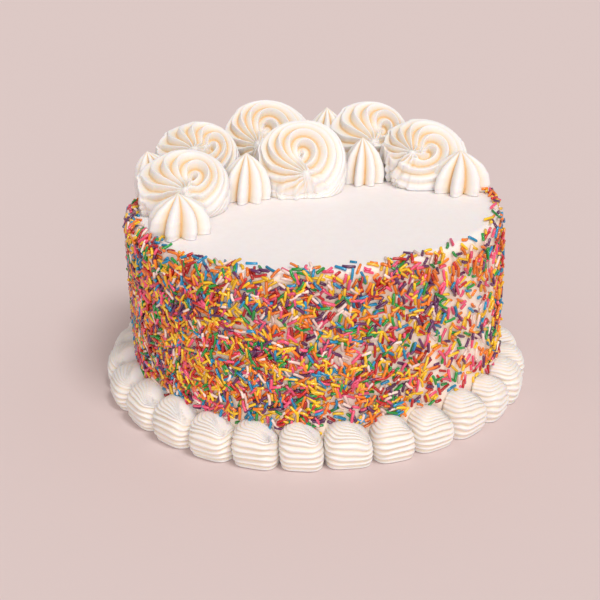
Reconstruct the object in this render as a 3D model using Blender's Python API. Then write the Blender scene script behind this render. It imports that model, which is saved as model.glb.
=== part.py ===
"""A fresh cream cake: a plain iced drum with sprinkles round its side, piped
cream shells round its foot, and a crescent of piped swirls and star kisses
over the back half of its top.

Lengths are in millimetres until a mesh is made. The origin is on the surface
that the cake stands on, under the middle of the cake, with +Z up and the front
of the cake towards -Y.
"""
import math
import random

import bmesh
import bpy
import numpy as np
from mathutils import Matrix, Vector

MM = 0.001
SEED = 11

# Gap kept between pieces that touch on the real cake.
CONTACT_GAP = 0.4

# The iced drum.
CAKE_HEIGHT = 110.0
CAKE_RADIUS = 109.3
TOP_SLOPE = 0.02
FOOT_SHIFT_X = 2.7
RIM_ROUNDING = 5.0
CAKE_SEGMENTS = 60
# Hand-spread icing: bulges (angle and width in degrees, height in mm).
SIDE_BULGES = ((-112.0, 26.0, 3.5), (-52.0, 26.0, -3.5), (70.0, 40.0, 1.5), (140.0, 25.0, -1.5))

# Sprinkles on the side, laid out in rows.
SPRINKLE_ROWS = 5
SPRINKLES_PER_ROW = 26
SPRINKLE_LOWEST = 35.0
SPRINKLE_HIGHEST = 99.0
SPRINKLE_RADIUS = 0.85
SPRINKLE_LENGTHS = (6.0, 8.0)
SPRINKLE_SIDES = 6
SPRINKLE_LIFT = 0.35
# How far a sprinkle strays from its place: share of the step round the side, and mm of height.
SPRINKLE_STRAY = (0.25, 2.5)

# The ring of piped shells at the foot.
SHELL_COUNT = 28
SHELL_SEED = 198
SHELL_FIRST_ANGLE = -101.0
# Depth of a shell from the side of the cake: the middle value, and how much more
# it is at the left and right than at front and back, and at the left than at the right.
SHELL_DEPTH = 17.5
SHELL_SIDE_DEPTH = 2.7
SHELL_LEFT_DEPTH = 1.5
# From shell to shell: width and depth as shares of the mean, and height in mm.
SHELL_WIDTH_SPREAD = (0.92, 1.08)
SHELL_HEIGHTS = (23.0, 26.0)
SHELL_DEPTH_SPREAD = (0.97, 1.03)
SHELL_RIDGES = 5
SHELL_GROOVE = 1.3
SHELL_COLUMNS = 6
# The surface's slope at the foot and at the top, as degrees round the shell's bulge.
SHELL_FOOT_LIFT = -42.0
SHELL_TOP_LIFT = 86.0
# Powers that shape a shell: how full it is from foot to top, how square it is seen
# from above, and how its width narrows to the top.
SHELL_FULLNESS = 0.6
SHELL_SQUARE_OUT = 0.8
SHELL_SQUARE_ACROSS = 0.5
SHELL_NARROWING = 0.5
# The shoulders are rounded off: by what share at the very top, and by what power below.
SHELL_SHOULDER = 0.35
SHELL_SHOULDER_POWER = 6.0
# Towards its tail, the right end, a shell's ridges gather: places at the left end, and at the tail.
SHELL_TAIL = ((0.0, 0.45, 0.92, 1.0), (0.0, 0.42, 0.80, 1.0))
SHELL_TAIL_BEND = 1.3
# The top narrows and falls towards the tail, and falls a little to the left too.
SHELL_TAIL_NARROWING = 0.15
SHELL_DROP_RIGHT = 0.22
SHELL_DROP_LEFT = 0.10
SHELL_DROP_POWER = 2.0
SHELL_LEAN = 2.0
# A groove is shallower near the top, by this power.
SHELL_GROOVE_FADE = 0.5

# Swirls: a rope of cream from a star nozzle, laid in one turn and pinched off.
LOBES = 12
ROPE_RADIUS = 12.6
ROPE_DOME = 9.5
ROPE_RISE = 3.0
ROPE_TURN = 335.0
RING_RADIUS = 12.2
GROOVE_DEPTH = 4.6
# Level that a ridge's height is measured from, as a share of the groove's depth.
RIDGE_MIDDLE = 0.5
STAR_DEPTH = 0.26
# The pinch: a small peak, with the grooves fading out round it.
PINCH_HEIGHT = 2.0
PINCH_RADIUS = 2.2
PINCH_SMOOTH = 7.0
# Over how many degrees behind the pinch the rope swings out to its ring, and widens.
SWING_TURN = 55.0
SWING_POWER = 1.6
WIDEN_TURN = 24.0
WIDEN_POWER = 0.9
# The ridges turn with the rope, degree for degree, from this many degrees behind the pinch.
TWIST = 0.90
TWIST_FROM = 95.0
TWIST_EASE = 30.0
# The relief is worked out on a grid of square cells and softened by a few of them.
FIELD_CELL = 0.5
FIELD_SOFTNESS = 1.1
FIELD_MARGIN = 1.25
# The nozzle's steps along its turn.
ROPE_STEPS = 160
# Where the outline is looked for: shares of the outer radius of the ring, and how many.
OUTLINE_SEARCH = (0.6, 1.2, 49)
FOOTPRINT = (23.0, 21.0)
# The swirl's middle lies a little nearer the front than the middle of the footprint.
EYE_FORWARD = 1.5
# The lower edge thins out towards the cake: over which heights, and by what power outwards.
LOW_EDGE = (0.1, 0.7)
LOW_FADE = 5.0
# The ridges run on down the skirt: how far they stand out at the rim and at the foot.
SKIRT_BULGE = 2.0
RIM_FLARE = 1.6
FOOT_FLARE = 5.0
FLARE_MIDDLE = 0.45
FLARE_PLACE = 0.93
# The ridges end in points at the outline: how far these stand out, and how soon it begins.
EDGE_POINTS = 0.12
EDGE_POINTS_POWER = 4.0
SKIRT_ROWS = 3
SWIRL_AZIMUTHS = 120
# Rings of points from the eye to the outline, a little closer together towards the outline.
SWIRL_ROWS = 26
SWIRL_ROW_POWER = 1.25
SWIRL_TRIANGLES = 585
# name: (x, y, height, tilt in degrees, eye's shift right and up, pinch angle, pinch distance, size)
SWIRLS = {
    "swirl_front": (-8.0, 31.0, 18.8, 46.0, -1.5, 1.9, -76.0, 17.4, 0.98),
    "swirl_left": (-77.0, -4.0, 14.0, 28.0, 4.3, 1.0, -87.0, 15.5, 1.00),
    "swirl_left_back": (-74.0, 50.0, 15.5, 32.0, 6.5, 2.2, -133.0, 8.0, 1.02),
    "swirl_back_left": (-30.0, 81.0, 18.5, 43.0, -2.7, 4.5, -103.0, 14.0, 1.06),
    "swirl_back_right": (35.5, 77.0, 19.0, 42.0, 7.0, 4.0, -99.0, 13.5, 0.98),
    "swirl_right": (67.0, 47.5, 15.0, 34.0, -0.6, -2.3, -137.0, 9.0, 1.02),
}

# Star kisses: name: (x, y, base radius, height, lean of the tip in x and y, turn in degrees).
KISS_LOBES = 8
KISS_GROOVE = 0.40
# The crests of a kiss spread a little on the cake.
KISS_FLARE = 0.08
KISSES = {
    "kiss_front_left": (-75.7, -44.0, 18.5, 22.0, 0.0, 0.0, 8.0),
    "kiss_left": (-94.0, 29.0, 16.0, 27.0, -7.0, -2.0, 20.0),
    "kiss_centre_left": (-41.0, 15.5, 15.5, 28.0, 0.5, 0.0, 12.0),
    "kiss_centre_right": (31.3, 45.5, 13.5, 28.0, -1.0, 0.0, 0.0),
    "kiss_back": (9.0, 89.0, 17.0, 37.0, 0.0, 0.0, 15.0),
    "kiss_right": (89.0, 25.5, 18.5, 24.0, -0.5, 0.0, 5.0),
}
KISS_TWIST = 10.0
# Radius of a kiss (share of its base radius) at rising shares of its height.
KISS_PROFILE = ((0.0, 0.90), (0.15, 1.0), (0.40, 0.94), (0.65, 0.74), (0.85, 0.40), (1.0, 0.0))

# Pieces on the top are trimmed to each other if they are nearer than this share of
# their two reaches together.
NEIGHBOUR_SHARE = 1.2
TRIM_ACCURACY = 1e-5

# Colours: base colour, roughness.
CREAM = ((0.93, 0.88, 0.80, 1.0), 0.45)
SPRINKLED = ((0.85, 0.62, 0.42, 1.0), 0.5)


def clear_scene():
    """Start from an empty scene."""
    for obj in list(bpy.data.objects):
        bpy.data.objects.remove(obj, do_unlink=True)


def material(name, look):
    """A plain material with one colour and one roughness."""
    colour, roughness = look
    mat = bpy.data.materials.new(name)
    mat.use_nodes = True
    shader = mat.node_tree.nodes["Principled BSDF"]
    shader.inputs["Base Color"].default_value = colour
    shader.inputs["Roughness"].default_value = roughness
    shader.inputs["Metallic"].default_value = 0.0
    return mat


def add_object(name, bm, mat):
    """Turn a bmesh in millimetres into a named object in metres."""
    bmesh.ops.scale(bm, vec=(MM, MM, MM), verts=bm.verts)
    bmesh.ops.recalc_face_normals(bm, faces=bm.faces)
    mesh = bpy.data.meshes.new(name)
    bm.to_mesh(mesh)
    bm.free()
    mesh.materials.append(mat)
    obj = bpy.data.objects.new(name, mesh)
    bpy.context.scene.collection.objects.link(obj)
    return obj


def angle_between(a, b):
    """Signed difference of two angles in degrees, between -180 and 180."""
    return (a - b + 180.0) % 360.0 - 180.0


def side_radius(angle):
    """Radius of the iced side at an angle in degrees."""
    radius = CAKE_RADIUS
    for centre, width, height in SIDE_BULGES:
        radius += height * math.exp(-(angle_between(angle, centre) / width) ** 2)
    return radius


def side_centre_x(z):
    """The drum leans a little: its middle moves in x from foot to top."""
    return FOOT_SHIFT_X * (1.0 - z / CAKE_HEIGHT)


def side_point(angle, z, out=0.0):
    """A point on the iced side, moved outwards by out."""
    reach = side_radius(angle) + out
    turn = math.radians(angle)
    return Vector((side_centre_x(z) + reach * math.cos(turn), reach * math.sin(turn), z))


def top_height(x):
    """Height of the iced top, which is slightly out of level."""
    return CAKE_HEIGHT + TOP_SLOPE * x


def bridge(bm, lower, upper):
    """Join two rings of equal length with triangles."""
    count = len(lower)
    for i in range(count):
        j = (i + 1) % count
        bm.faces.new((lower[i], lower[j], upper[j]))
        bm.faces.new((lower[i], upper[j], upper[i]))


def cap(bm, ring, centre):
    """Close a ring with a fan round a centre point."""
    middle = bm.verts.new(centre)
    for i in range(len(ring)):
        bm.faces.new((ring[i], ring[(i + 1) % len(ring)], middle))


def drum_mesh():
    """The iced drum: straight side, softly rounded rim, nearly level top."""
    corner = RIM_ROUNDING * (1.0 - math.sqrt(0.5))
    levels = (
        (0.0, 0.0),
        (CAKE_HEIGHT * 0.5, 0.0),
        (CAKE_HEIGHT - RIM_ROUNDING, 0.0),
        (CAKE_HEIGHT - corner, -corner),
        (CAKE_HEIGHT, -RIM_ROUNDING),
    )
    bm = bmesh.new()
    rings = []
    for z, out in levels:
        ring = []
        for i in range(CAKE_SEGMENTS):
            point = side_point(360.0 * i / CAKE_SEGMENTS, z, out)
            point.z += TOP_SLOPE * point.x * z / CAKE_HEIGHT
            ring.append(bm.verts.new(point))
        rings.append(ring)
    for lower, upper in zip(rings, rings[1:]):
        bridge(bm, lower, upper)
    cap(bm, rings[0], (FOOT_SHIFT_X, 0.0, 0.0))
    cap(bm, rings[-1], (0.0, 0.0, CAKE_HEIGHT))
    return bm


def sprinkle_places(rng):
    """Evenly spread places on the side: angle, height, slant and length of each sprinkle."""
    places = []
    stray_share, stray_height = SPRINKLE_STRAY
    row_step = (SPRINKLE_HIGHEST - SPRINKLE_LOWEST) / (SPRINKLE_ROWS - 1)
    for row in range(SPRINKLE_ROWS):
        for column in range(SPRINKLES_PER_ROW):
            step = column + 0.5 * (row % 2) + rng.uniform(-stray_share, stray_share)
            z = SPRINKLE_LOWEST + row * row_step + rng.uniform(-stray_height, stray_height)
            slant = rng.uniform(0.0, 180.0)
            places.append((360.0 * step / SPRINKLES_PER_ROW, z, slant, rng.uniform(*SPRINKLE_LENGTHS)))
    return places


def sprinkle_rod(angle, z, slant, length, mat):
    """One sprinkle: a short rod lying on the side, half sunk into the icing."""
    bm = bmesh.new()
    bmesh.ops.create_cone(
        bm, cap_ends=True, cap_tris=True, segments=SPRINKLE_SIDES,
        radius1=SPRINKLE_RADIUS, radius2=SPRINKLE_RADIUS, depth=length)
    out = Vector((math.cos(math.radians(angle)), math.sin(math.radians(angle)), 0.0))
    along = Vector((-out.y, out.x, 0.0)) * math.cos(math.radians(slant))
    along += Vector((0.0, 0.0, 1.0)) * math.sin(math.radians(slant))
    across = out.cross(along)
    frame = Matrix((across, out, along)).transposed().to_4x4()
    frame.translation = side_point(angle, z, SPRINKLE_LIFT)
    bmesh.ops.transform(bm, matrix=frame, verts=bm.verts)
    return add_object("sprinkle_rod", bm, mat)


def make_cake():
    """The drum with its sprinkles fused on by one union."""
    rng = random.Random(SEED)
    cake = add_object("cake", drum_mesh(), material("iced_side", SPRINKLED))
    rods = bpy.data.collections.new("sprinkle_rods")
    bpy.context.scene.collection.children.link(rods)
    rod_material = cake.data.materials[0]
    for place in sprinkle_places(rng):
        rod = sprinkle_rod(*place, rod_material)
        bpy.context.scene.collection.objects.unlink(rod)
        rods.objects.link(rod)
    union = cake.modifiers.new("sprinkles", "BOOLEAN")
    union.operation = "UNION"
    union.operand_type = "COLLECTION"
    union.collection = rods
    union.solver = "EXACT"
    apply_modifiers(cake)
    for rod in list(rods.objects):
        bpy.data.objects.remove(rod, do_unlink=True)
    bpy.data.collections.remove(rods)


def apply_modifiers(obj):
    """Replace an object's mesh with its evaluated mesh."""
    graph = bpy.context.evaluated_depsgraph_get()
    finished = bpy.data.meshes.new_from_object(obj.evaluated_get(graph))
    obj.modifiers.clear()
    obj.data = finished


def shell_depth(angle):
    """How far a shell stands out from the side, at an angle in degrees."""
    turn = math.radians(angle)
    return SHELL_DEPTH + SHELL_SIDE_DEPTH * math.cos(2.0 * turn) - SHELL_LEFT_DEPTH * math.cos(turn)


def shell_sizes():
    """Angle, width in degrees, height and depth of every shell, each a little different."""
    rng = random.Random(SHELL_SEED)
    sizes = []
    for _ in range(SHELL_COUNT):
        sizes.append([rng.uniform(*spread) for spread in (SHELL_WIDTH_SPREAD, SHELL_HEIGHTS, SHELL_DEPTH_SPREAD)])
    total = sum(width for width, _, _ in sizes)
    start = SHELL_FIRST_ANGLE
    shells = []
    for width, height, depth in sizes:
        wide = 360.0 * width / total
        angle = start + 0.5 * wide
        shells.append((angle, wide, height, depth * shell_depth(angle)))
        start += wide
    return shells


def shell_point(share, turn, width, depth, height, groove):
    """A point of a shell in its own frame: x to the right along the wall, y outwards, z up.

    share runs over its ridges from the foot (0) up (1), and turn from its tail, the
    right end (0), to its left end (180 degrees). The ridges gather at the tail.
    """
    left = 0.5 - 0.5 * math.cos(turn)
    gather = 1.0 - left ** SHELL_TAIL_BEND
    climb = share + (float(np.interp(share, *SHELL_TAIL)) - share) * gather
    foot = math.sin(math.radians(SHELL_FOOT_LIFT))
    top = math.sin(math.radians(SHELL_TOP_LIFT))
    lift = math.radians(SHELL_FOOT_LIFT + (SHELL_TOP_LIFT - SHELL_FOOT_LIFT) * climb)
    reach = math.cos(lift) ** SHELL_FULLNESS - groove * math.cos(lift) ** SHELL_GROOVE_FADE / depth
    y = depth * reach * math.sin(turn) ** SHELL_SQUARE_OUT
    across = math.copysign(abs(math.cos(turn)) ** SHELL_SQUARE_ACROSS, math.cos(turn))
    x = 0.5 * width * reach ** SHELL_NARROWING * across
    x *= (1.0 + y / CAKE_RADIUS) * (1.0 - SHELL_SHOULDER * climb ** SHELL_SHOULDER_POWER)
    side = 2.0 * x / width
    if x > 0.0:
        x *= 1.0 - SHELL_TAIL_NARROWING * climb ** 2
        fall = SHELL_DROP_RIGHT * side ** SHELL_DROP_POWER
    else:
        fall = SHELL_DROP_LEFT * (-side) ** SHELL_DROP_POWER
    x -= SHELL_LEAN * climb ** 2
    z = height * (math.sin(lift) - foot) / (top - foot)
    return x, y, z * (1.0 - fall * climb)


def make_shell(name, spec, mat):
    """One piped shell: stacked ridges that fan over the top from its tail."""
    angle, wide, height, depth = spec
    width = 2.0 * side_radius(angle) * math.tan(math.radians(wide) * 0.5) - CONTACT_GAP
    rows = 2 * SHELL_RIDGES
    bm = bmesh.new()
    grid = []
    for row in range(rows + 1):
        groove = SHELL_GROOVE * (row % 2)
        line = []
        for column in range(SHELL_COLUMNS + 1):
            turn = math.pi * column / SHELL_COLUMNS
            line.append(shell_point(row / rows, turn, width, depth, height, groove))
        grid.append(line)
    out = Vector((math.cos(math.radians(angle)), math.sin(math.radians(angle)), 0.0))
    right = Vector((-out.y, out.x, 0.0))
    nearby = [angle + wide * step / 4.0 for step in range(-3, 4)]
    wall = max(side_point(a, z).dot(out) for a in nearby for z in (0.0, SHELL_HEIGHTS[1]))
    foot = side_point(angle, 0.0)
    foot += out * (wall + CONTACT_GAP - foot.dot(out))
    verts = []
    for line in grid:
        verts.append([bm.verts.new(foot + right * x + out * y + Vector((0, 0, z))) for x, y, z in line])
    for lower, upper in zip(verts, verts[1:]):
        bridge(bm, lower, upper)
    bm.faces.new(verts[0])
    bm.faces.new(verts[-1])
    bmesh.ops.triangulate(bm, faces=bm.faces)
    return add_object(name, bm, mat)


def kiss_mesh(x, y, radius, height, lean_x, lean_y, turn):
    """A star kiss: deep ridges that meet in a small drawn tip."""
    bm = bmesh.new()
    points = 2 * KISS_LOBES
    rings = []
    for share, wide in KISS_PROFILE[:-1]:
        ring = []
        for i in range(points):
            angle = math.radians(turn + KISS_TWIST * share) + math.pi * i / KISS_LOBES
            reach = radius * wide
            if i % 2:
                reach *= 1.0 - KISS_GROOVE
            elif share == 0.0:
                reach *= 1.0 + KISS_FLARE
            px = x + lean_x * share + reach * math.cos(angle)
            py = y + lean_y * share + reach * math.sin(angle)
            ring.append(bm.verts.new((px, py, top_height(px) + CONTACT_GAP + height * share)))
        rings.append(ring)
    for lower, upper in zip(rings, rings[1:]):
        bridge(bm, lower, upper)
    tip = (x + lean_x, y + lean_y, top_height(x) + CONTACT_GAP + height)
    cap(bm, rings[-1], tip)
    cap(bm, rings[0], (x, y, top_height(x) + CONTACT_GAP))
    return bm


def ridge(angle):
    """Ridges round the nozzle: 1 on a crest, 0 in a groove."""
    step = angle * LOBES / (2.0 * math.pi) % 1.0
    return 1.0 - np.abs(2.0 * step - 1.0)


def swirl_relief(x, y, pinch_angle, pinch_distance):
    """Height of a swirl over its own plane, with the eye of the swirl at the origin.

    The nozzle goes once round the eye and ends at the pinch. Each point keeps the
    ridge of the nozzle's lobe that passed over it last. Returns height, cover and crest.
    """
    height = np.zeros(x.shape)
    angle = np.zeros(x.shape)
    covered = np.zeros(x.shape, bool)
    gap_before = np.full(x.shape, 1.0)
    centre_before = (0.0, 0.0)
    for i in range(ROPE_STEPS):
        back = i / (ROPE_STEPS - 1)
        turned = ROPE_TURN * back
        way = math.radians(pinch_angle - turned)
        near_pinch = math.exp(-(turned / SWING_TURN) ** SWING_POWER)
        radius = RING_RADIUS + (pinch_distance - RING_RADIUS) * near_pinch
        cx = radius * math.cos(way)
        cy = radius * math.sin(way)
        spread = ROPE_RADIUS * (1.0 - math.exp(-(turned / WIDEN_TURN) ** WIDEN_POWER))
        spin = math.radians(TWIST * TWIST_EASE * math.log1p(math.exp((turned - TWIST_FROM) / TWIST_EASE)))
        dx = x - cx
        dy = y - cy
        far = np.hypot(dx, dy)
        star = 1.0 + STAR_DEPTH * (ridge(np.arctan2(dy, dx) + spin) - RIDGE_MIDDLE)
        gap = far / star - spread
        arrived = (gap <= 0.0) & ~covered
        share = np.clip(gap_before / np.maximum(gap_before - gap, 1e-6), 0.0, 1.0)
        mid_x = centre_before[0] + (cx - centre_before[0]) * share
        mid_y = centre_before[1] + (cy - centre_before[1]) * share
        angle = np.where(arrived, np.arctan2(y - mid_y, x - mid_x) + spin, angle)
        covered |= arrived
        inside = np.clip(1.0 - (far / star / ROPE_RADIUS) ** 2, 0.0, 1.0)
        dome = ROPE_RISE * (1.0 - back) + ROPE_DOME * inside
        height = np.where(far < star * ROPE_RADIUS, np.maximum(height, dome), height)
        gap_before = gap
        centre_before = (cx, cy)
    pinch = math.radians(pinch_angle)
    from_pinch = np.hypot(x - pinch_distance * math.cos(pinch), y - pinch_distance * math.sin(pinch))
    fade = np.clip(from_pinch / PINCH_SMOOTH, 0.0, 1.0)
    crest = ridge(angle)
    relief = height + GROOVE_DEPTH * fade * (crest - RIDGE_MIDDLE)
    relief += PINCH_HEIGHT * np.exp(-(from_pinch / PINCH_RADIUS) ** 2)
    return np.where(covered, np.maximum(relief, 0.0), 0.0), covered, crest * fade + 1.0 - fade


def soften(field, cells):
    """A grid of values blurred by a few cells."""
    reach = int(math.ceil(3.0 * cells))
    weights = np.exp(-0.5 * (np.arange(-reach, reach + 1) / cells) ** 2)
    weights /= weights.sum()
    for axis in (0, 1):
        padding = [(reach, reach) if a == axis else (0, 0) for a in (0, 1)]
        padded = np.pad(field, padding, mode="edge")
        steps = np.arange(field.shape[axis])
        field = sum(w * np.take(padded, steps + k, axis=axis) for k, w in enumerate(weights))
    return field


def read_grid(field, half, x, y):
    """Values of a square grid, from -half to half both ways, between its points."""
    last = field.shape[0] - 1
    u = np.clip((x + half) / (2.0 * half) * last, 0.0, last - 0.001)
    v = np.clip((y + half) / (2.0 * half) * last, 0.0, last - 0.001)
    i = u.astype(int)
    j = v.astype(int)
    s = u - i
    t = v - j
    low = (1.0 - s) * field[i, j] + s * field[i + 1, j]
    high = (1.0 - s) * field[i, j + 1] + s * field[i + 1, j + 1]
    return (1.0 - t) * low + t * high


def swirl_rings(spec):
    """Rings of points of a swirl, from its eye over its face and down its skirt to the cake."""
    x0, y0, middle_height, tilt, shift_right, shift_up, pinch_angle, pinch_distance, size = spec
    full = RING_RADIUS + ROPE_RADIUS
    half = FIELD_MARGIN * full
    line = np.linspace(-half, half, int(2.0 * half / FIELD_CELL) + 1)
    fields = swirl_relief(*np.meshgrid(line, line, indexing="ij"), pinch_angle, pinch_distance)
    rise, cover, crest = [soften(field.astype(float), FIELD_SOFTNESS) for field in fields]
    phi = np.linspace(0.0, 2.0 * np.pi, SWIRL_AZIMUTHS, endpoint=False)
    cos = np.cos(phi)
    sin = np.sin(phi)
    probe = np.linspace(*OUTLINE_SEARCH) * full
    covered = read_grid(cover, half, cos[:, None] * probe, sin[:, None] * probe) > 0.5
    outline = probe[covered.shape[1] - 1 - np.argmax(covered[:, ::-1], axis=1)]
    lean = math.radians(tilt)
    right = np.array((1.0, 0.0, 0.0))
    up = np.array((0.0, math.cos(lean), math.sin(lean)))
    face = np.array((0.0, -math.sin(lean), math.cos(lean)))
    middle = np.array((x0, y0 - EYE_FORWARD, middle_height))
    low = np.clip((-sin - LOW_EDGE[0]) / LOW_EDGE[1], 0.0, 1.0)
    low = low * low * (3.0 - 2.0 * low)
    near_edge = FLARE_PLACE * outline
    edge_crest = read_grid(crest, half, near_edge * cos, near_edge * sin) - FLARE_MIDDLE
    rings = []
    for row in range(1, SWIRL_ROWS + 1):
        share = 1.0 - (1.0 - row / SWIRL_ROWS) ** SWIRL_ROW_POWER
        rx = outline * share * cos
        ry = outline * share * sin
        lift = read_grid(rise, half, rx, ry) * (1.0 - low * share ** LOW_FADE)
        points_out = 1.0 + EDGE_POINTS * edge_crest * share ** EDGE_POINTS_POWER
        rx = rx * points_out
        ry = ry * points_out
        if share == 1.0:
            lift = np.zeros(SWIRL_AZIMUTHS)
        stay = 1.0 - share ** 2
        sideways = np.outer(rx + shift_right * stay, right) + np.outer(ry + shift_up * stay, up)
        rings.append(middle + size * (sideways + np.outer(lift, face)))
    outward = np.stack((cos, sin, np.zeros(SWIRL_AZIMUTHS)), axis=1)
    edge = edge_crest[:, None] * outward
    rim = rings[-1] + RIM_FLARE * edge
    rings[-1] = rim
    reach = size * outline / full
    level = np.zeros(SWIRL_AZIMUTHS)
    foot = np.stack((x0 + FOOTPRINT[0] * reach * cos, y0 + FOOTPRINT[1] * reach * sin, level), axis=1)
    foot = foot + FOOT_FLARE * edge
    for row in range(1, SKIRT_ROWS + 1):
        share = row / SKIRT_ROWS
        bulge = SKIRT_BULGE * math.sin(math.pi * share) * rim[:, 2:3] / (2.0 * middle_height)
        rings.append(rim * (1.0 - share) + foot * share + outward * bulge)
    for points in rings:
        points[:, 2] = np.maximum(points[:, 2], 0.0)
        points[:, 2] += CAKE_HEIGHT + TOP_SLOPE * points[:, 0] + CONTACT_GAP
    return rings


def swirl_mesh(spec):
    """A swirl as a closed mesh."""
    rings = swirl_rings(spec)
    bm = bmesh.new()
    rows = [[bm.verts.new(p) for p in points] for points in rings]
    for lower, upper in zip(rows, rows[1:]):
        bridge(bm, lower, upper)
    cap(bm, rows[0], Vector(rings[0].mean(axis=0)))
    foot = rings[-1].mean(axis=0)
    foot[2] = top_height(foot[0]) + CONTACT_GAP
    cap(bm, rows[-1], Vector(foot))
    return bm


def topping_spots():
    """Middle and reach of every piece on the top, by name."""
    spots = {}
    for name, spec in SWIRLS.items():
        spots[name] = (Vector((spec[0], spec[1], 0.0)), FOOTPRINT[0] * spec[8])
    for name, spec in KISSES.items():
        spots[name] = (Vector((spec[0], spec[1], 0.0)), spec[2])
    return spots


def trim_to_neighbours(bm, name, spots):
    """Cut a piece flat where it meets the pieces next to it."""
    centre, reach = spots[name]
    for other, (other_centre, other_reach) in spots.items():
        across = other_centre - centre
        distance = across.length
        if other == name or distance > NEIGHBOUR_SHARE * (reach + other_reach):
            continue
        along = distance * reach / (reach + other_reach) - 0.5 * CONTACT_GAP
        geometry = bm.verts[:] + bm.edges[:] + bm.faces[:]
        bmesh.ops.bisect_plane(
            bm, geom=geometry, dist=TRIM_ACCURACY, clear_outer=True,
            plane_co=centre + across.normalized() * along, plane_no=across.normalized())
        open_edges = [edge for edge in bm.edges if edge.is_boundary]
        if open_edges:
            bmesh.ops.holes_fill(bm, edges=open_edges, sides=0)
    bmesh.ops.triangulate(bm, faces=bm.faces)


def reduce_triangles(obj, triangles):
    """Simplify a mesh to about a number of triangles."""
    thin = obj.modifiers.new("thin_out", "DECIMATE")
    thin.ratio = min(1.0, triangles / len(obj.data.polygons))
    apply_modifiers(obj)


def main():
    clear_scene()
    make_cake()
    cream = material("piped_cream", CREAM)
    for index, spec in enumerate(shell_sizes()):
        make_shell("shell_%02d" % (index + 1), spec, cream)
    spots = topping_spots()
    for name, spec in KISSES.items():
        bm = kiss_mesh(*spec)
        trim_to_neighbours(bm, name, spots)
        add_object(name, bm, cream)
    for name, spec in SWIRLS.items():
        bm = swirl_mesh(spec)
        trim_to_neighbours(bm, name, spots)
        reduce_triangles(add_object(name, bm, cream), SWIRL_TRIANGLES)


main()
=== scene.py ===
import math
import random

import bpy
import numpy as np
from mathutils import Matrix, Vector


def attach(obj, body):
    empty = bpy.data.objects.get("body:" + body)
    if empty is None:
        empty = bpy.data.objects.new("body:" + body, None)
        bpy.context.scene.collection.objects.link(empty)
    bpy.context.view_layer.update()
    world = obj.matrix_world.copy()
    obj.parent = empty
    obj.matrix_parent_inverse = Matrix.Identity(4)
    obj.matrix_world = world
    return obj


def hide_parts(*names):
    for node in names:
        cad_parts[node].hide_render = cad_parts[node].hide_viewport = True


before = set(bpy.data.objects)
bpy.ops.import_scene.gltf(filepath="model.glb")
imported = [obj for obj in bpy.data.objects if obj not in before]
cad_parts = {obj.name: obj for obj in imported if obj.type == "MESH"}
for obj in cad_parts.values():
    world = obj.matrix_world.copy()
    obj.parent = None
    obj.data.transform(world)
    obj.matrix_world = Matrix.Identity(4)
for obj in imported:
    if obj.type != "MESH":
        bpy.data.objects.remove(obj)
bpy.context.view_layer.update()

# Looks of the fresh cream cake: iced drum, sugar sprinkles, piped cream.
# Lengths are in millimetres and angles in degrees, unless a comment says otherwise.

MM = 0.001
# Keeps a divisor above zero.
TINY = 1e-6

# Seeds of the icing's waves, of the sway in the shells' ridges, and of the sprinkles.
ICING_SEED = 11
SWAY_SEED = 12
SPRINKLE_SEED = 16

# The iced drum, as in the solids.
CAKE_HEIGHT = 110.0
CAKE_RADIUS = 109.3
TOP_SLOPE = 0.02
FOOT_SHIFT_X = 2.7
RIM_ROUNDING = 5.0
# Bulges of the side: (direction, width, height).
SIDE_BULGES = (
    (-112.0, 26.0, 3.5),
    (-52.0, 26.0, -3.5),
    (70.0, 40.0, 1.5),
    (140.0, 25.0, -1.5),
)
# The way up the side to the rim, and the way round the rim.
SIDE_RUN = CAKE_HEIGHT - RIM_ROUNDING
RIM_RUN = RIM_ROUNDING * math.pi / 2.0

# Its mesh: points round it, and rows of the side, the rim and the top.
DRUM_COLUMNS = 300
SIDE_ROWS = 56
RIM_ROWS = 12
TOP_ROWS = 60
# Radius of the middle of the top, which is closed by a fan.
TOP_MIDDLE = 4.0
# How far the icing lies inside the solid's skin.
ICING_INSET = 0.3
# Size of the waves on the side and on the top, and the ways over which they ease.
SIDE_WAVE = 1.2
TOP_WAVE = 0.10
RIM_EASE = 12.0
MIDDLE_EASE = 20.0
# Sets of waves: how many, fewest turns round the cake, and one more than the most.
ICING_WAVES = (9, 3, 26)
SPRINKLE_TOP_WAVES = (6, 8, 60)
SPRINKLE_FOOT_WAVES = (5, 8, 50)
# Ranges of a wave's climb, in radians per mm, of its start, in radians, and of its size.
WAVE_CLIMBS = (0.02, 0.11)
WAVE_STARTS = (0.0, 6.28)
WAVE_SIZES = (0.5, 1.0)

# The ring of piped shells.
SHELL_COUNT = 28
SHELL_SEED = 198
SHELL_FIRST_ANGLE = -101.0
SHELL_DEPTH = 17.5
SHELL_SIDE_DEPTH = 2.7
SHELL_LEFT_DEPTH = 1.5
SHELL_HEIGHTS = (23.0, 26.0)
SHELL_WIDTH_SPREAD = (0.92, 1.08)
SHELL_DEPTH_SPREAD = (0.97, 1.03)
# How much wider than its place a shell is, and how far its back is sunk in the side.
SHELL_OVERLAP = 0.8
SHELL_SINK = 0.8
SHELL_FOOT_LIFT = -42.0
SHELL_TOP_LIFT = 86.0
SHELL_RIDGES = 9
SHELL_GROOVE = 1.7
SHELL_FULLNESS = 0.6
SHELL_SQUARE_OUT = 0.8
SHELL_SQUARE_ACROSS = 0.5
SHELL_NARROWING = 0.5
SHELL_SHOULDER = 0.35
SHELL_SHOULDER_POWER = 6.0
SHELL_TAIL_NARROWING = 0.15
SHELL_DROP_RIGHT = 0.22
SHELL_DROP_LEFT = 0.10
SHELL_DROP_POWER = 2.0
SHELL_LEAN = 2.0
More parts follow.
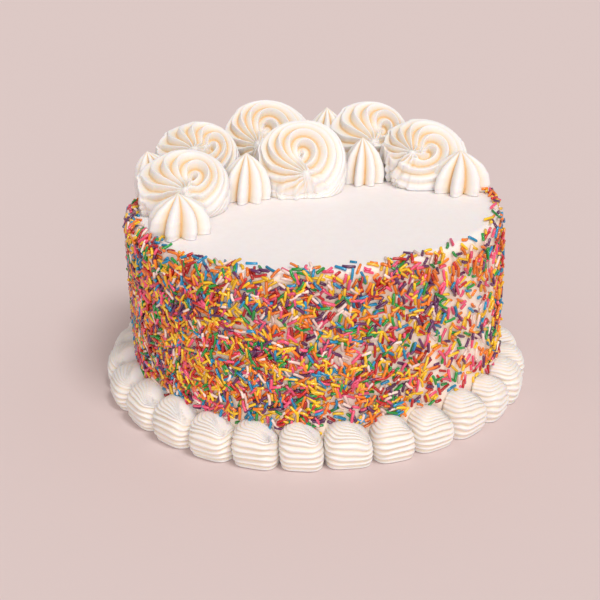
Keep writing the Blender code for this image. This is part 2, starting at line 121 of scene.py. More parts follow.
# Above this share of its height a shell's ridges fan from its tail, at the right end.
SHELL_FAN_FROM = 0.58
SHELL_FAN_POWER = 0.8
# Where the fanned ridges start to fade, where they end, and what they fade to.
SHELL_FAN_FADE = (1.9, 3.2)
SHELL_BARE_CREST = 0.8
# Nearest that the fan comes to the tail.
SHELL_TAIL_GAP = 0.02
# Place of the lowest ridge, as a share of one ridge.
SHELL_RIDGE_START = 0.25
# A groove is shallower near the top, by this power.
SHELL_GROOVE_FADE = 0.25
SHELL_CREST_POWER = 0.8
# Tone of the shells' grooves, which the cream's colours paint as tan shade.
SHELL_GROOVE_PAINTED_SHADE = 0.25
SHELL_COLUMNS = 49
SHELL_ROWS_PER_RIDGE = 11
# Sway of the ridges: range of its draws, and radians for each unit of a draw.
SWAY_RANGE = (-0.5, 0.5)
SWAY_START = 6.0
# Long and short wander of the ridges: size, waves along the turn, waves up the climb.
LONG_WANDER = (0.025, 2.0, 0.0)
SHORT_WANDER = (0.015, 5.0, 9.0)
# Slope of the ridges: the same for all shells, and the part that a draw changes.
RIDGE_SLOPE = (0.03, 0.06)
# Unevenness of the grooves: size, waves along the turn, waves up the climb.
GROOVE_UNEVENNESS = (0.35, 3.0, 7.0)

# Swirls of cream from a star nozzle.
LOBES = 12
ROPE_RADIUS = 12.6
ROPE_DOME = 9.5
ROPE_RISE = 3.0
ROPE_TURN = 335.0
ROPE_STEPS = 260
RING_RADIUS = 12.2
SWIRL_RADIUS = RING_RADIUS + ROPE_RADIUS
GROOVE_DEPTH = 4.6
RIDGE_MIDDLE = 0.5
STAR_DEPTH = 0.26
PINCH_HEIGHT = 2.0
PINCH_RADIUS = 2.2
PINCH_SMOOTH = 3.5
SWING_TURN = 55.0
SWING_POWER = 1.6
WIDEN_TURN = 24.0
WIDEN_POWER = 0.9
TWIST = 0.90
TWIST_FROM = 95.0
TWIST_EASE = 30.0
FOOTPRINT = (23.0, 21.0)
EYE_FORWARD = 1.5
SKIRT_BULGE = 2.0
SKIRT_GROOVE = 3.4
# Ridges round a swirl's outer side, and how far they lean from rim to foot, in radians.
SKIRT_LOBES = 22
SKIRT_SLANT = 0.65
# Tone in the grooves of the outer side, which the cream's colours paint as golden shade.
SKIRT_GROOVE_PAINTED_SHADE = 0.35
RIM_FLARE = 1.6
FOOT_FLARE = 5.0
# The lower part of the face lies flat towards its rim: start, width and power.
LOW_START = 0.1
LOW_WIDTH = 0.7
LOW_FADE = 9.0
EDGE_POINTS = 0.12
EDGE_POINTS_POWER = 4.0
# The edge's crests are read at this share of the outline, and are even at this tone.
EDGE_SHARE = 0.93
EDGE_MIDDLE = 0.45
# name: (x, y, height, tilt, eye's shift right and up, pinch angle, pinch distance, size)
SWIRLS = {
    "swirl_front": (-8.0, 31.0, 18.8, 46.0, -1.5, 1.9, -76.0, 17.4, 0.98),
    "swirl_left": (-77.0, -4.0, 14.0, 28.0, 4.3, 1.0, -87.0, 15.5, 1.00),
    "swirl_left_back": (-74.0, 50.0, 15.5, 32.0, 6.5, 2.2, -133.0, 8.0, 1.02),
    "swirl_back_left": (-30.0, 81.0, 18.2, 43.0, -2.7, 4.5, -103.0, 14.0, 1.06),
    "swirl_back_right": (35.5, 77.0, 19.0, 42.0, 7.0, 4.0, -99.0, 13.5, 0.98),
    "swirl_right": (67.0, 47.5, 15.0, 34.0, -0.6, -2.3, -137.0, 9.0, 1.02),
}
# Grid of a swirl's relief: cell, half its width as a share of the swirl's radius,
# softness in cells, reach of the softening, and the last bit of it that isn't read.
FIELD_CELL = 0.25
FIELD_MARGIN = 1.25
FIELD_SOFTNESS = 0.6
SOFTEN_REACH = 3.0
FIELD_END = 0.001
# Where a swirl's outline is looked for: from and to, in its radius, and in how many steps.
OUTLINE_PROBE = (0.6, 1.2, 97)
OUTLINE_COVER = 0.5
# Its mesh: points round it, rows of the face, how they crowd to the rim, rows of the skirt.
SWIRL_COLUMNS = 300
FACE_ROWS = 100
FACE_ROW_POWER = 1.25
SKIRT_ROWS = 18

# Star kisses: name: (x, y, base radius, height, lean of the tip in x and y, turn).
KISS_LOBES = 8
KISS_GROOVE = 0.40
KISS_CREST_POWER = 1.1
KISS_FLARE = 0.08
KISS_FLARE_HEIGHT = 0.06
KISSES = {
    "kiss_front_left": (-75.7, -44.0, 18.5, 22.0, 0.0, 0.0, 8.0),
    "kiss_left": (-94.0, 29.0, 16.0, 27.0, -7.0, -2.0, 20.0),
    "kiss_centre_left": (-41.0, 15.5, 15.5, 28.0, 0.5, 0.0, 12.0),
    "kiss_centre_right": (31.3, 45.5, 13.5, 28.0, -1.0, 0.0, 0.0),
    "kiss_back": (9.0, 89.0, 17.0, 37.0, 0.0, 0.0, 15.0),
    "kiss_right": (89.0, 25.5, 18.5, 24.0, -0.5, 0.0, 5.0),
}
# Outline of a kiss: (share of its height, share of its base radius), softened.
KISS_PROFILE = ((0.0, 0.90), (0.15, 1.0), (0.40, 0.94), (0.65, 0.74), (0.85, 0.40), (1.0, 0.0))
KISS_PROFILE_STEPS = 401
KISS_PROFILE_SOFTNESS = 30
KISS_LEAST_WIDTH = 0.012
KISS_TWIST = 10.0
# The grooves run out at the tip: the larger, the later.
KISS_GROOVE_END = 8.0
# Its mesh: points round it, rows, and how they crowd to the tip.
KISS_COLUMNS = 24 * KISS_LOBES
KISS_ROWS = 70
KISS_ROW_POWER = 1.3

# Tones of the end points, (bottom, top), of each kind of piped cream, which the cream's colours
# turn into painted shade; the swirls' eyes are painted deep golden.
SWIRL_END_PAINTED_SHADES = (0.2, 0.2)
KISS_END_PAINTED_SHADES = (0.5, 1.0)
SHELL_END_PAINTED_SHADES = (0.5, 1.0)

# Sprinkles.
SPRINKLE_COUNT = 8800
SPRINKLE_RADIUS = 0.82
SPRINKLE_RADIUS_SPREAD = (0.9, 1.08)
SPRINKLE_LENGTHS = (3.8, 8.0)
SPRINKLE_BENDING = 0.35
SPRINKLE_SIDES = 7
# Rings of a rod with rounded ends: place along it, and share of its radius.
ROD_RINGS = (
    (-0.5, 0.0), (-0.485, 0.62), (-0.43, 1.0), (0.0, 1.0), (0.43, 1.0), (0.485, 0.62), (0.5, 0.0))
# The band they lie in, how far its edges draw in, and how far they wave.
SPRINKLE_BAND = (21.5, CAKE_HEIGHT + 2.2)
BAND_INSET = 1.0
BAND_WAVE = 4.0
# How far a sprinkle's middle may lie past the band's upper edge.
BAND_SLACK = 0.6
# Share of strays, and how far above the band they may lie.
STRAY_SHARE = 0.02
STRAY_RISE = 7.0
# Places tried for each sprinkle, and their spread.
SPRINKLE_TRIES = 8
TRY_SPREAD = 1.8
# Marks along a sprinkle, as shares of its length, for its distance from others.
SPRINKLE_MARKS = (-0.45, 0.45, 5)
SPRINKLE_CELL = 8.0
# Nearer than this, in its radius, a sprinkle lies on top of the other.
CROSSING = 1.7
HIGHEST_LEVEL = 2
LEVEL_HEIGHT = 0.95
LOWEST_LIFTS = (0.1, 0.5)
# Spread of the pitch of a sprinkle that lies on the icing, and of one that lies on others.
FLAT_PITCH = 2.0
CROSSING_PITCH = 9.0
# Fewest sprinkles: direction, width, share that is missing there.
SPARSE_SIDE = (-32.0, 36.0, 0.72)
# name: (share, colour)
SPRINKLE_KINDS = {
    "yellow": (0.23, (0.98, 0.52, 0.01)),
    "orange": (0.18, (0.95, 0.20, 0.01)),
    "pink": (0.12, (0.80, 0.08, 0.18)),
    "red": (0.11, (0.50, 0.01, 0.01)),
    "white": (0.08, (0.92, 0.64, 0.58)),
    "green": (0.09, (0.008, 0.28, 0.04)),
    "blue": (0.09, (0.003, 0.24, 0.46)),
    "purple": (0.10, (0.12, 0.02, 0.10)),
}
# Darkest and lightest shade of each colour.
SPRINKLE_SHADES = (0.78, 1.25)

# Shader values of each material, by socket.
CREAM_LOOK = {
    "Roughness": 0.42,
    "Specular IOR Level": 0.35,
    "Subsurface Weight": 0.25,
    "Subsurface Radius": (1.0, 0.62, 0.30),
    "Subsurface Scale": 0.003,
}
ICING_LOOK = {
    "Roughness": 0.48,
    "Specular IOR Level": 0.3,
    "Subsurface Weight": 0.25,
    "Subsurface Radius": (1.0, 0.6, 0.3),
    "Subsurface Scale": 0.003,
}
SPRINKLE_LOOK = {
    "Roughness": 0.20,
    "Specular IOR Level": 0.6,
    "Coat Weight": 0.35,
    "Coat Roughness": 0.16,
}
FLOOR_LOOK = {
    "Base Color": (0.74, 0.62, 0.61, 1.0),
    "Roughness": 1.0,
    "Specular IOR Level": 0.0,
}
# Fine relief: (grains per metre, depth in metres, strength).
CREAM_RELIEF = (900.0, 0.00006, 0.5)
ICING_RELIEF = (260.0, 0.0001, 0.35)
SPRINKLE_RELIEF = (1500.0, 0.00004, 0.3)
RELIEF_DETAIL = 3.0
# Colours along a value: (place, colour). The cream runs from groove to crest: painted golden shade
# deep in the grooves, for the shadow and warm bounced light there, paling through painted tan shade
# on the flanks to the cream's own warm white on the crests.
CREAM_COLOURS_WITH_PAINTED_SHADE = (
    (0.0, (0.83, 0.52, 0.21, 1.0)),
    (0.30, (0.855, 0.745, 0.60, 1.0)),
    (0.75, (0.85, 0.82, 0.81, 1.0)),
)
ICING_COLOURS = ((0.35, (0.925, 0.865, 0.86, 1.0)), (0.65, (0.94, 0.885, 0.885, 1.0)))
# Painted bounce light: the side's icing is tinted peach for the warm light that the sprinkles round
# it throw on it. The top takes none.
ICING_PAINTED_BOUNCE_TINTS = ((0.0, (1.0, 0.90, 0.78, 1.0)), (1.0, (1.0, 1.0, 1.0, 1.0)))

# The floor's width, the light of the room, the soft lights and the camera, in metres.
FLOOR_WIDTH = 30.0
ROOM_COLOUR = (1.0, 0.95, 0.92, 1.0)
ROOM_LIGHT = 0.50
# name: (way to the light, width, power, colour)
SUNS = {
    "key": ((0.35, -0.42, 1.0), 20.0, 1.30, (1.0, 0.985, 0.97)),
    "front": ((0.08, -1.0, 0.30), 35.0, 1.22, (1.0, 0.96, 0.92)),
}
CAMERA_PLACE = (-0.0085, -0.6778, 0.3297)
CAMERA_FALL = 22.52
CAMERA_REACH = 50.0
# Lens and frame width in millimetres.
CAMERA_LENS = 72.0
CAMERA_FRAME = 36.0


def make_piece(name, points, quads, triangles, material, tone):
    """A smooth-shaded mesh from points in millimetres; tone is 0 in a groove and 1 on a crest, and
    sets the painted shade in the cream's grooves.
    """
    mesh = bpy.data.meshes.new(name)
    mesh.vertices.add(len(points))
    mesh.vertices.foreach_set("co", (np.asarray(points) * MM).astype(np.float32).ravel())
    corners = np.concatenate((np.ravel(quads), np.ravel(triangles))).astype(np.int32)
    starts = np.concatenate((
        4 * np.arange(len(quads)), 4 * len(quads) + 3 * np.arange(len(triangles))))
    mesh.loops.add(len(corners))
    mesh.loops.foreach_set("vertex_index", corners)
    mesh.polygons.add(len(starts))
    mesh.polygons.foreach_set("loop_start", starts.astype(np.int32))
    mesh.update(calc_edges=True)
    mesh.validate()
    mesh.shade_smooth()
    tones = mesh.attributes.new("tone", "FLOAT", "POINT")
    tones.data.foreach_set("value", np.asarray(tone, dtype=np.float32))
    mesh.materials.append(material)
    obj = bpy.data.objects.new(name, mesh)
    bpy.context.scene.collection.objects.link(obj)
    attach(obj, "root")
    return obj


def ring_quads(rows, columns, first=0):
    """Quads between rows of points, each row closed to a ring, from the first point on."""
    i = np.arange(columns)
    j = (i + 1) % columns
    starts = [first + row * columns for row in range(rows)]
    return np.concatenate([
        np.stack((low + i, low + j, high + j, high + i), axis=1)
        for low, high in zip(starts, starts[1:])])


def end_fans(columns, bottom, first, top, last):
    """Triangles from the bottom point to the first ring, and from the top to the last one."""
    i = np.arange(columns)
    j = (i + 1) % columns
    return np.concatenate((
        np.stack((np.full(columns, bottom), first + j, first + i), axis=1),
        np.stack((np.full(columns, top), last + i, last + j), axis=1)))


def closed_rings(rings, bottom, top):
    """Points and faces of rings stacked upwards, each anticlockwise, with an end point each way."""
    rows = len(rings)
    columns = len(rings[0])
    points = np.concatenate(list(rings) + [np.array([bottom, top])])
    count = rows * columns
    fans = end_fans(columns, count, 0, count + 1, count - columns)
    return points, ring_quads(rows, columns), fans


def make_cream(name, rings, tones, bottom, top, end_tones, material):
    """One piece of piped cream from its rings, in place of its solid."""
    points, quads, fans = closed_rings(rings, bottom, top)
    tone = np.concatenate(tones + [np.array(end_tones)])
    piece = make_piece("cream_" + name, points, quads, fans, material, tone)
    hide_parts(name)


def angle_between(a, b):
    """Signed difference of two angles."""
    return (a - b + 180.0) % 360.0 - 180.0


def side_radius(angle):
    """Radius of the iced side at an angle."""
    radius = CAKE_RADIUS + np.zeros(np.shape(angle))
    for centre, width, height in SIDE_BULGES:
        radius = radius + height * np.exp(-(angle_between(angle, centre) / width) ** 2)
    return radius


def skin(angle, run):
    """Points and outward normals of the icing, by angle and by run.

    run is the way from the foot up the side, round the rim and in over the top.
    """
    turn = np.radians(angle)
    bend = np.clip((run - SIDE_RUN) / RIM_RUN, 0.0, 1.0) * math.pi / 2.0
    inward = np.maximum(run - SIDE_RUN - RIM_RUN, 0.0)
    z = np.minimum(run, SIDE_RUN) + RIM_ROUNDING * np.sin(bend)
    reach = side_radius(angle) - RIM_ROUNDING * (1.0 - np.cos(bend)) - inward
    x = FOOT_SHIFT_X * (1.0 - z / CAKE_HEIGHT) + reach * np.cos(turn)
    y = reach * np.sin(turn)
    z = z + TOP_SLOPE * x * z / CAKE_HEIGHT
    points = np.stack((x, y, z), axis=-1)
    level = np.cos(bend)
    normals = np.stack((np.cos(turn) * level, np.sin(turn) * level, np.sin(bend)), axis=-1)
    return points, normals


def make_waves(rng, count, fewest, most):
    """Smooth seeded waves over the icing, for hand-spread unevenness."""
    return [
        (rng.integers(fewest, most), rng.uniform(*WAVE_CLIMBS),
         rng.uniform(*WAVE_STARTS), rng.uniform(*WAVE_SIZES))
        for _ in range(count)]


def wave_height(waves, angle, run):
    """Mean of the waves at an angle and a run."""
    total = 0.0
    for turns, climb, start, size in waves:
        total = total + size * np.sin(np.radians(angle) * turns + run * climb + start)
    return total / len(waves)


def new_material(name, look):
    """A new material with the values of its look, its node tree and its shader."""
    material = bpy.data.materials.new(name)
    material.use_nodes = True
    tree = material.node_tree
    shader = tree.nodes["Principled BSDF"]
    for socket, value in look.items():
        shader.inputs[socket].default_value = value
    return material, tree, shader


def add_relief(tree, shader, scale, distance, strength):
    """Fine procedural relief; gives its noise."""
    where = tree.nodes.new("ShaderNodeTexCoord")
    noise = tree.nodes.new("ShaderNodeTexNoise")
    noise.inputs["Scale"].default_value = scale
    noise.inputs["Detail"].default_value = RELIEF_DETAIL
    bump = tree.nodes.new("ShaderNodeBump")
    bump.inputs["Distance"].default_value = distance
    bump.inputs["Strength"].default_value = strength
    tree.links.new(where.outputs["Object"], noise.inputs["Vector"])
    tree.links.new(noise.outputs["Fac"], bump.inputs["Height"])
    tree.links.new(bump.outputs["Normal"], shader.inputs["Normal"])
    return noise.outputs["Fac"]


def add_tone(tree):
    """The tone that the mesh has at each point."""
    tone = tree.nodes.new("ShaderNodeAttribute")
    tone.attribute_name = "tone"
    return tone.outputs["Fac"]


def add_colours(tree, value, colours):
    """The colour of a value, between two or more colours in the order of their places."""
    ramp = tree.nodes.new("ShaderNodeValToRGB")
    elements = ramp.color_ramp.elements
    first, *between, last = colours
    for index, (place, colour) in enumerate((first, last)):
        elements[index].position = place
        elements[index].color = colour
    for place, colour in between:
        elements.new(place).color = colour
    tree.links.new(value, ramp.inputs["Fac"])
    return ramp.outputs["Color"]


def cream_material():
    """Warm white whipped cream with painted golden shade in its grooves, satin, softly translucent.
    """
    material, tree, shader = new_material("whipped_cream", CREAM_LOOK)
    colour = add_colours(tree, add_tone(tree), CREAM_COLOURS_WITH_PAINTED_SHADE)
    tree.links.new(colour, shader.inputs["Base Color"])
    add_relief(tree, shader, *CREAM_RELIEF)
    return material


def icing_material():
    """Smooth warm white icing with faint mottling, and painted peach bounce light between the
    sprinkles of the side.
    """
    material, tree, shader = new_material("smooth_icing", ICING_LOOK)
    colour = add_colours(tree, add_relief(tree, shader, *ICING_RELIEF), ICING_COLOURS)
    # Painted bounce light: peach on the side, fading out over the rim to none on the top.
    painted_bounce_tint = add_colours(tree, add_tone(tree), ICING_PAINTED_BOUNCE_TINTS)
    with_painted_bounce = tree.nodes.new("ShaderNodeMix")
    with_painted_bounce.data_type = "RGBA"
    with_painted_bounce.blend_type = "MULTIPLY"
    with_painted_bounce.inputs["Factor"].default_value = 1.0
    tree.links.new(colour, with_painted_bounce.inputs["A"])
    tree.links.new(painted_bounce_tint, with_painted_bounce.inputs["B"])
    tree.links.new(with_painted_bounce.outputs["Result"], shader.inputs["Base Color"])
    return material


def sprinkle_material(name, colour):
    """Glossy sugar: a little lighter or darker from one sprinkle to the next."""
    material, tree, shader = new_material("sprinkle_" + name, SPRINKLE_LOOK)
    shades = [tuple(min(1.0, shade * c) for c in colour) + (1.0,) for shade in SPRINKLE_SHADES]
    shaded = add_colours(tree, add_tone(tree), tuple(zip((0.0, 1.0), shades)))
    tree.links.new(shaded, shader.inputs["Base Color"])
    add_relief(tree, shader, *SPRINKLE_RELIEF)
    return material


def make_drum(material):
    """The iced drum: uneven hand-spread side, soft rim, smooth top with faint spatula marks."""
    rng = np.random.default_rng(ICING_SEED)
    angle = np.linspace(0.0, 360.0, DRUM_COLUMNS, endpoint=False)
    top_run = CAKE_RADIUS - RIM_ROUNDING - TOP_MIDDLE
    runs = np.concatenate((
        np.linspace(0.0, SIDE_RUN, SIDE_ROWS),
        SIDE_RUN + np.linspace(0.0, RIM_RUN, RIM_ROWS)[1:],
        SIDE_RUN + RIM_RUN + np.linspace(0.0, top_run, TOP_ROWS)[1:]))
    waves = make_waves(rng, *ICING_WAVES)
    rings = []
    tones = []
    for run in runs:
        points, normals = skin(angle, np.full(DRUM_COLUMNS, run))
        past_rim = run - SIDE_RUN - RIM_RUN
        over_top = np.clip(past_rim / RIM_EASE, 0.0, 1.0)
        amount = SIDE_WAVE * (1.0 - over_top) + TOP_WAVE * over_top
        if run == 0.0:
            amount = 0.0
        fade = np.clip((top_run - past_rim) / MIDDLE_EASE, 0.0, 1.0)
        swell = amount * fade * wave_height(waves, angle, np.full(DRUM_COLUMNS, run))
        points = points + normals * (swell - ICING_INSET)[:, None]
        points[:, 2] = np.maximum(points[:, 2], 0.0)
        rings.append(points)
        # Tone 0 on the side rising to 1 over the rim: the mask of the icing's painted peach bounce
        # light.
        tones.append(np.full(DRUM_COLUMNS, np.clip((run - SIDE_RUN) / RIM_RUN, 0.0, 1.0)))
    foot = (FOOT_SHIFT_X, 0.0, 0.0)
    points, quads, fans = closed_rings(rings, foot, rings[-1].mean(axis=0))
    tone = np.concatenate(tones + [np.array([0.0, 1.0])])
    piece = make_piece("iced_drum", points, quads, fans, material, tone)
    return piece


def scatter_sprinkles(rng):
    """Places of all the sprinkles: angle, run, slant, pitch, lift, length, bend.

    The side is unrolled. Each sprinkle takes the one of a few places that crosses the
    others least, and lies on top of them where it still crosses one.
    """
    around = 2.0 * math.pi * CAKE_RADIUS
    low, high = SPRINKLE_BAND
    columns = int(around / SPRINKLE_CELL)
    cell_wide = around / columns
    edge = make_waves(rng, *SPRINKLE_TOP_WAVES)
    foot = make_waves(rng, *SPRINKLE_FOOT_WAVES)
    marks = np.linspace(*SPRINKLE_MARKS)
    sparse, wide, missing = SPARSE_SIDE
    laid = {}
    rows = []
    while len(rows) < SPRINKLE_COUNT:
        stray = rng.uniform() < STRAY_SHARE
        u = rng.uniform(0.0, around)
        v = rng.uniform(low, high + STRAY_RISE if stray else high)
        angle = 360.0 * u / around
        top = high - BAND_INSET + BAND_WAVE * wave_height(edge, angle, 0.0)
        bottom = low + BAND_INSET + BAND_WAVE * wave_height(foot, angle, 0.0)
        if not stray and not bottom < v < top:
            continue
        if rng.uniform() < missing * math.exp(-(angle_between(angle, sparse) / wide) ** 2):
            continue
        length = rng.uniform(*SPRINKLE_LENGTHS)
        slants = rng.uniform(0.0, math.pi, SPRINKLE_TRIES)
        us = u + rng.normal(0.0, TRY_SPREAD, SPRINKLE_TRIES)
        highest = v if stray else top + BAND_SLACK
        vs = np.minimum(v + rng.normal(0.0, TRY_SPREAD, SPRINKLE_TRIES), highest)
        along = length * marks
        tries = np.stack((us[:, None] + along * np.cos(slants)[:, None],
                          vs[:, None] + along * np.sin(slants)[:, None]), axis=-1)
        column = int(u / cell_wide)
        row = int(v / SPRINKLE_CELL)
        near = []
        for c in (column - 1, column, column + 1):
            for r in (row - 1, row, row + 1):
                near += laid.get((c % columns, r), [])
        level = 0
        best = 0
        if near:
            others = np.array([spots for spots, _ in near]).reshape(-1, 2)
            gap = tries[:, :, None, :] - others
            gap[..., 0] = (gap[..., 0] + 0.5 * around) % around - 0.5 * around
            nearest = np.hypot(gap[..., 0], gap[..., 1]).min(axis=1)
            best = int(np.argmax(nearest.min(axis=1)))
            distances = nearest[best].reshape(len(near), len(marks)).min(axis=1)
            crossed = distances < CROSSING * SPRINKLE_RADIUS
            if crossed.any():
                level = 1 + max(other for (_, other), hit in zip(near, crossed) if hit)
        level = min(level, HIGHEST_LEVEL)
        home = (int(us[best] % around / cell_wide) % columns, int(vs[best] / SPRINKLE_CELL))
        laid.setdefault(home, []).append((tries[best], level))
        pitch = rng.normal(0.0, FLAT_PITCH if level == 0 else CROSSING_PITCH)
        lift = rng.uniform(*LOWEST_LIFTS) + LEVEL_HEIGHT * level
        bend = rng.normal(0.0, SPRINKLE_BENDING)
        turned = 360.0 * us[best] / around
        rows.append((turned, vs[best], slants[best], pitch, lift, length, bend))
    return np.array(rows).T


def rod_faces(rings, sides):
    """Faces of one rod: quads between its rings and a fan on each end point."""
    last = 1 + (rings - 1) * sides
    return ring_quads(rings, sides, 1), end_fans(sides, 0, 1, last + sides, last)


def make_sprinkles():
    """Thousands of sugar rods round the side, one joined mesh for each colour."""
    rng = np.random.default_rng(SPRINKLE_SEED)
    angle, run, slant, pitch, lift, length, bend = scatter_sprinkles(rng)
    count = len(angle)
    centre, normal = skin(angle, run)
    turn = np.radians(angle)
    level = np.stack((-np.sin(turn), np.cos(turn), np.zeros(count)), axis=1)
    climb = np.cross(normal, level)
    s = slant[:, None]
    flat = level * np.cos(s) + climb * np.sin(s)
    p = np.radians(pitch)[:, None]
    along = flat * np.cos(p) + normal * np.sin(p)
    up = normal * np.cos(p) - flat * np.sin(p)
    across = np.cross(along, up)
    centre = centre + normal * lift[:, None]
    radius = SPRINKLE_RADIUS * rng.uniform(*SPRINKLE_RADIUS_SPREAD, count)
    shares = np.array([share for share, _ in SPRINKLE_KINDS.values()])
    kind_of = rng.choice(len(shares), size=count, p=shares / shares.sum())
    tone = rng.uniform(0.0, 1.0, count)
    sides = np.linspace(0.0, 2.0 * np.pi, SPRINKLE_SIDES, endpoint=False)
    quads, fans = rod_faces(len(ROD_RINGS) - 2, SPRINKLE_SIDES)
    pieces = []
    for index, (name, (_, colour)) in enumerate(SPRINKLE_KINDS.items()):
        mine = np.nonzero(kind_of == index)[0]
        blocks = []
        for place, share in ROD_RINGS:
            bow = 1.0 - 4.0 * place * place
            middle = centre[mine] + along[mine] * (place * length[mine])[:, None]
            middle = (middle + across[mine] * (bend[mine] * bow)[:, None])[:, None, :]
            if share == 0.0:
                blocks.append(middle)
                continue
            thick = (radius[mine] * share)[:, None]
            sideways = across[mine][:, None, :] * (np.cos(sides) * thick)[:, :, None]
            upwards = up[mine][:, None, :] * (np.sin(sides) * thick)[:, :, None]
            blocks.append(middle + sideways + upwards)
        points = np.concatenate(blocks, axis=1)
        each = points.shape[1]
        starts = (np.arange(len(mine)) * each)[:, None, None]
        piece = make_piece(
            "sprinkles_" + name, points.reshape(-1, 3), (quads + starts).reshape(-1, 4),
            (fans + starts).reshape(-1, 3), sprinkle_material(name, colour),
            np.repeat(tone[mine], each))
        pieces.append(piece)
    return pieces


def ridge(angle, lobes):
    """Ridges round the nozzle: 1 on a crest, 0 in a groove."""
    step = angle * lobes / (2.0 * math.pi) % 1.0
    return 1.0 - np.abs(2.0 * step - 1.0)


def rounded_ridge(angle, lobes):
    """Ridges with round crests and sharp grooves."""
    return np.sin(0.5 * np.pi * ridge(angle, lobes))


def swirl_relief(x, y, pinch_angle, pinch_distance):
    """Height, cover and tone of a swirl over its own plane, with its eye at the origin.

    The nozzle goes once round the eye and ends at the pinch. Each point keeps the
    ridge of the nozzle's lobe that passed over it last.
    """
    height = np.zeros(x.shape)
    angle = np.zeros(x.shape)
    covered = np.zeros(x.shape, bool)
    gap_before = np.full(x.shape, 1.0)
    centre_before = (0.0, 0.0)
    for i in range(ROPE_STEPS):
        back = i / (ROPE_STEPS - 1)
        turned = ROPE_TURN * back
        way = math.radians(pinch_angle - turned)
        near_pinch = math.exp(-(turned / SWING_TURN) ** SWING_POWER)
        radius = RING_RADIUS + (pinch_distance - RING_RADIUS) * near_pinch
        cx = radius * math.cos(way)
        cy = radius * math.sin(way)
        spread = ROPE_RADIUS * (1.0 - math.exp(-(turned / WIDEN_TURN) ** WIDEN_POWER))
        eased = math.log1p(math.exp((turned - TWIST_FROM) / TWIST_EASE))
        spin = math.radians(TWIST * TWIST_EASE * eased)
        dx = x - cx
        dy = y - cy
        far = np.hypot(dx, dy)
        star = 1.0 + STAR_DEPTH * (ridge(np.arctan2(dy, dx) + spin, LOBES) - RIDGE_MIDDLE)
        gap = far / star - spread
        arrived = (gap <= 0.0) & ~covered
        share = np.clip(gap_before / np.maximum(gap_before - gap, TINY), 0.0, 1.0)
        mid_x = centre_before[0] + (cx - centre_before[0]) * share
        mid_y = centre_before[1] + (cy - centre_before[1]) * share
        angle = np.where(arrived, np.arctan2(y - mid_y, x - mid_x) + spin, angle)
        covered |= arrived
        inside = np.clip(1.0 - (far / star / ROPE_RADIUS) ** 2, 0.0, 1.0)
        dome = ROPE_RISE * (1.0 - back) + ROPE_DOME * inside
        height = np.where(far < star * ROPE_RADIUS, np.maximum(height, dome), height)
        gap_before = gap
        centre_before = (cx, cy)
    pinch = math.radians(pinch_angle)
    from_pinch = np.hypot(
        x - pinch_distance * math.cos(pinch), y - pinch_distance * math.sin(pinch))
    fade = np.clip(from_pinch / PINCH_SMOOTH, 0.0, 1.0)
    crest = ridge(angle, LOBES)
    relief = height + GROOVE_DEPTH * fade * (crest - RIDGE_MIDDLE)
    relief += PINCH_HEIGHT * np.exp(-(from_pinch / PINCH_RADIUS) ** 2)
    # Painted shade: the tone is low in the grooves and lowest, 0, in the uncovered eye, so the
    # cream's colours paint them golden; near the pinch the grooves fade out.
    tone = np.where(covered, 1.0 - (1.0 - crest) * fade, 0.0)
    return np.where(covered, np.maximum(relief, 0.0), 0.0), covered, tone


def soften(field):
    """A grid of values blurred by a part of a cell."""
    reach = int(math.ceil(SOFTEN_REACH * FIELD_SOFTNESS))
    weights = np.exp(-0.5 * (np.arange(-reach, reach + 1) / FIELD_SOFTNESS) ** 2)
    weights /= weights.sum()
    for axis in (0, 1):
        padding = [(reach, reach) if a == axis else (0, 0) for a in (0, 1)]
        padded = np.pad(field, padding, mode="edge")
        steps = np.arange(field.shape[axis])
        field = sum(w * np.take(padded, steps + k, axis=axis) for k, w in enumerate(weights))
    return field


def read_grid(field, half, x, y):
    """Values of a square grid, from -half to half both ways, between its points."""
    last = field.shape[0] - 1
    u = np.clip((x + half) / (2.0 * half) * last, 0.0, last - FIELD_END)
    v = np.clip((y + half) / (2.0 * half) * last, 0.0, last - FIELD_END)
    i = u.astype(int)
    j = v.astype(int)
    s = u - i
    t = v - j
    low = (1.0 - s) * field[i, j] + s * field[i + 1, j]
    high = (1.0 - s) * field[i, j + 1] + s * field[i + 1, j + 1]
    return (1.0 - t) * low + t * high


